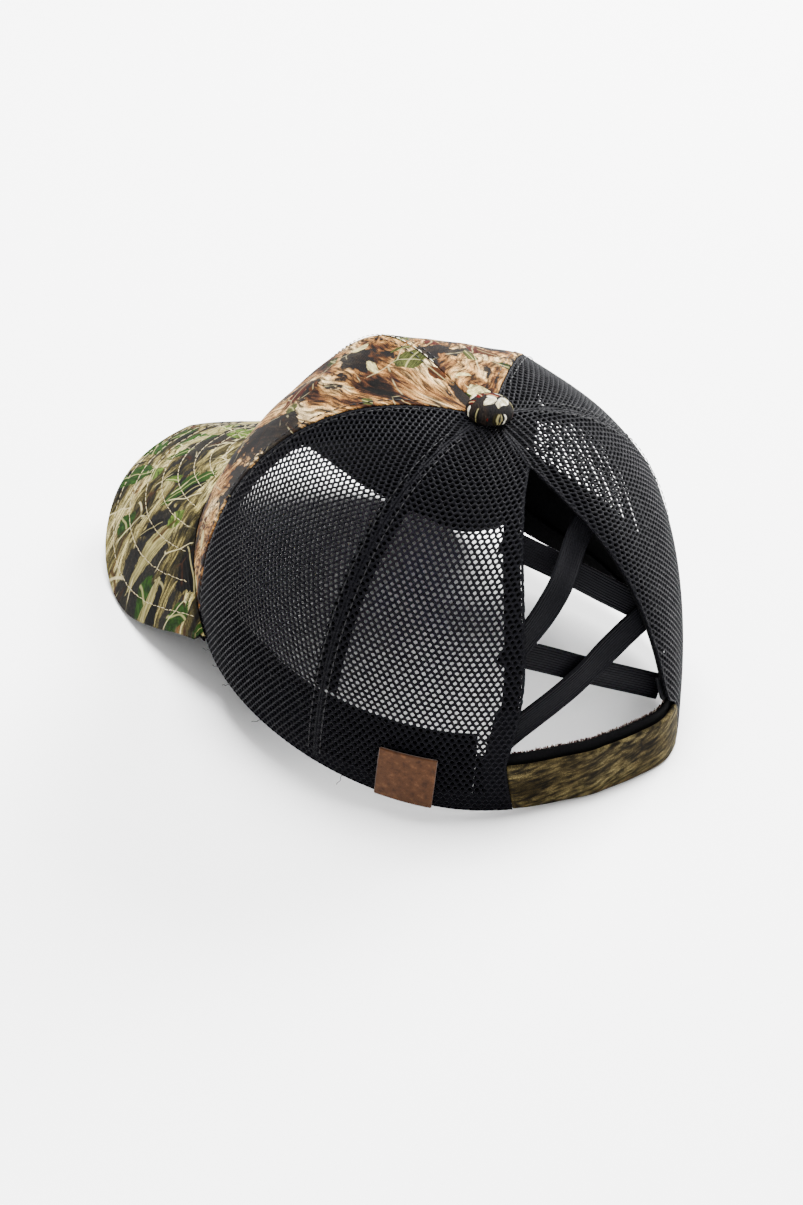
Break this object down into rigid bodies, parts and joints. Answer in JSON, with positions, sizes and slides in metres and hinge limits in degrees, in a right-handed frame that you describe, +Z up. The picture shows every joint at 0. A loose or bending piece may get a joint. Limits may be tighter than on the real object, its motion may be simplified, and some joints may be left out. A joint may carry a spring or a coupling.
{
  "type": "baseball cap",
  "caption": "Ponytail baseball cap with woodland camouflage twill front and curved brim, black mesh sides, and an open back crossed by elastic straps.",
  "frame": {"origin": "centre of the bottom of the bounding box, on the surface the cap rests on", "axes": "+Z up, the brim points to -Y, the wearer's left is +X"},
  "size_m": [0.1676, 0.2726, 0.1277],
  "materials": {
    "printed_twill": "printed cotton twill",
    "mesh": "open polyester mesh",
    "black_tape": "matte woven tape",
    "elastic": "ribbed woven elastic",
    "suede": "matte suede"
  },
  "bodies": {
    "root": {"front_panel_left": "printed_twill", "front_panel_right": "printed_twill", "side_panel_left": "mesh", "side_panel_right": "mesh", "rear_panel_left": "mesh", "rear_panel_right": "mesh", "brim": "printed_twill", "sweatband": "black_tape", "back_band": "printed_twill", "back_band_lining": "black_tape", "seam_tape_front_left": "black_tape", "seam_tape_front_right": "black_tape", "seam_tape_rear_left": "black_tape", "seam_tape_rear_right": "black_tape", "opening_hem_left": "black_tape", "opening_hem_right": "black_tape", "strap_upper_left": "elastic", "strap_upper_right": "elastic", "strap_lower_left": "elastic", "strap_lower_right": "elastic", "button": "printed_twill", "label": "suede"}
  },
  "joints": []
}
